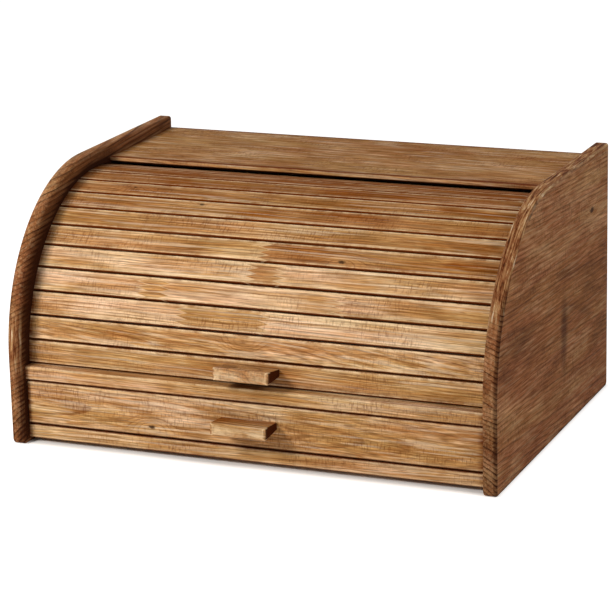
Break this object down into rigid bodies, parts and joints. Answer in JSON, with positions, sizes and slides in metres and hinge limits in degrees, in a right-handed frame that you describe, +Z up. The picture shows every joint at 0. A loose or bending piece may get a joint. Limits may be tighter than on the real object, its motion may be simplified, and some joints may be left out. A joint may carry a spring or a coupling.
{
  "type": "bread box with drawer",
  "caption": "Roll-top wooden bread box: a slatted curtain slides up in round grooves in the side panels over a shelf, and a shallow drawer pulls out below the shelf.",
  "frame": {"origin": "on the surface that the box stands on, under the middle of the whole box with its pulls", "axes": "+X to the right along the slats, +Y from the front with the pulls to the back, +Z up"},
  "size_m": [0.4, 0.304, 0.205],
  "materials": {
    "pine_golden_brown": "pine, stained golden brown, thin satin varnish, worn lighter on the arrises",
    "pine_honey": "pine, stained honey brown, thin satin varnish",
    "pine_red_brown": "pine, stained red brown, thin satin varnish",
    "pine_dark_brown": "pine, stained dark walnut brown, thin satin varnish",
    "plywood": "thin plywood, unfinished",
    "beech_dowel": "bare beech dowel",
    "cloth": "unbleached canvas, glued",
    "steel": "zinc-plated steel"
  },
  "bodies": {
    "cabinet": {"back_brad_bottom": "steel", "back_brad_left_1": "steel", "back_brad_left_2": "steel", "back_brad_left_3": "steel", "back_brad_right_1": "steel", "back_brad_right_2": "steel", "back_brad_right_3": "steel", "back_panel": "plywood", "bottom_board": "pine_honey", "bottom_dowel_left_back": "beech_dowel", "bottom_dowel_left_front": "beech_dowel", "bottom_dowel_right_back": "beech_dowel", "bottom_dowel_right_front": "beech_dowel", "shelf_board": "pine_honey", "shelf_dowel_left_back": "beech_dowel", "shelf_dowel_left_front": "beech_dowel", "shelf_dowel_right_back": "beech_dowel", "shelf_dowel_right_front": "beech_dowel", "side_panel_left": "pine_dark_brown", "side_panel_right": "pine_dark_brown", "top_board": "pine_red_brown", "top_dowel_left_back": "beech_dowel", "top_dowel_left_front": "beech_dowel", "top_dowel_right_back": "beech_dowel", "top_dowel_right_front": "beech_dowel"},
    "curtain": {"curtain_cloth": "cloth", "curtain_pull": "pine_golden_brown", "curtain_pull_screw_left": "steel", "curtain_pull_screw_right": "steel", "curtain_slat_01": "pine_golden_brown", "curtain_slat_02": "pine_golden_brown", "curtain_slat_03": "pine_golden_brown", "curtain_slat_04": "pine_golden_brown", "curtain_slat_05": "pine_golden_brown", "curtain_slat_06": "pine_golden_brown", "curtain_slat_07": "pine_golden_brown", "curtain_slat_08": "pine_golden_brown", "curtain_slat_09": "pine_golden_brown", "curtain_slat_10": "pine_golden_brown", "curtain_slat_11": "pine_golden_brown", "curtain_slat_12": "pine_golden_brown", "curtain_slat_13": "pine_golden_brown"},
    "drawer": {"drawer_back": "pine_honey", "drawer_bottom": "plywood", "drawer_brad_left_back": "steel", "drawer_brad_left_front_high": "steel", "drawer_brad_left_front_low": "steel", "drawer_brad_right_back": "steel", "drawer_brad_right_front_high": "steel", "drawer_brad_right_front_low": "steel", "drawer_front": "pine_golden_brown", "drawer_pull": "pine_golden_brown", "drawer_pull_screw_left": "steel", "drawer_pull_screw_right": "steel", "drawer_side_left": "pine_honey", "drawer_side_right": "pine_honey"}
  },
  "joints": [
    {"name": "curtain_roll", "type": "hinge", "parent": "cabinet", "child": "curtain", "pos_m": [0, 0.0058, 0.063], "axis": [-1, 0, 0], "range_deg": [0, 88]},
    {"name": "drawer_slide", "type": "slide", "parent": "cabinet", "child": "drawer", "axis": [0, -1, 0], "range_m": [0, 0.18]}
  ]
}
